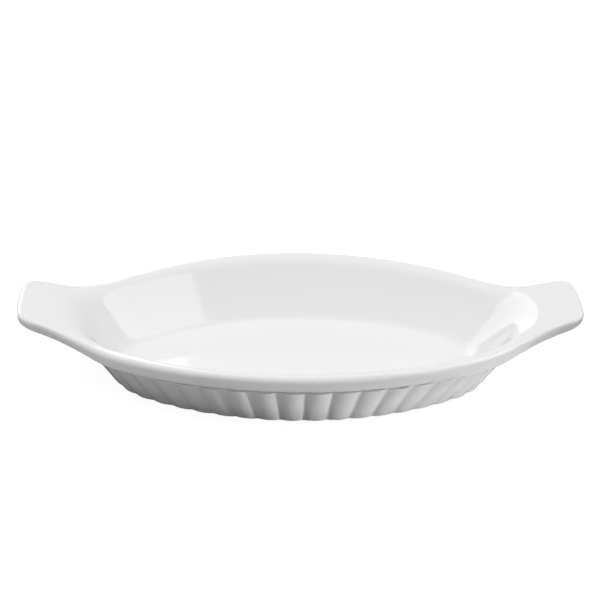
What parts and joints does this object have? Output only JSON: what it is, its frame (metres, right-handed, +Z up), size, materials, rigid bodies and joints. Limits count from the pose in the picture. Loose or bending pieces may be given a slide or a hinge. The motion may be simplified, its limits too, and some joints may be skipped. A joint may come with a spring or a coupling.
{
  "type": "gratin dish",
  "caption": "Oval gratin dish in white glazed porcelain with a fluted sloping wall, a plain rounded rim band and two flat upswept ears.",
  "frame": {"origin": "centre of the footprint, on the table under the foot ring", "axes": "+X along the length towards the right ear, +Y across the dish, +Z up out of the well"},
  "size_m": [0.28, 0.154, 0.0398],
  "materials": {
    "white_glaze": "glossy clear glaze over white porcelain",
    "bare_foot": "matt fired porcelain, wiped free of glaze"
  },
  "bodies": {
    "root": {"dish_floor": "white_glaze", "foot_ring": "bare_foot", "fluted_wall": "white_glaze", "rim_band": "white_glaze", "left_ear": "white_glaze", "right_ear": "white_glaze"}
  },
  "joints": []
}
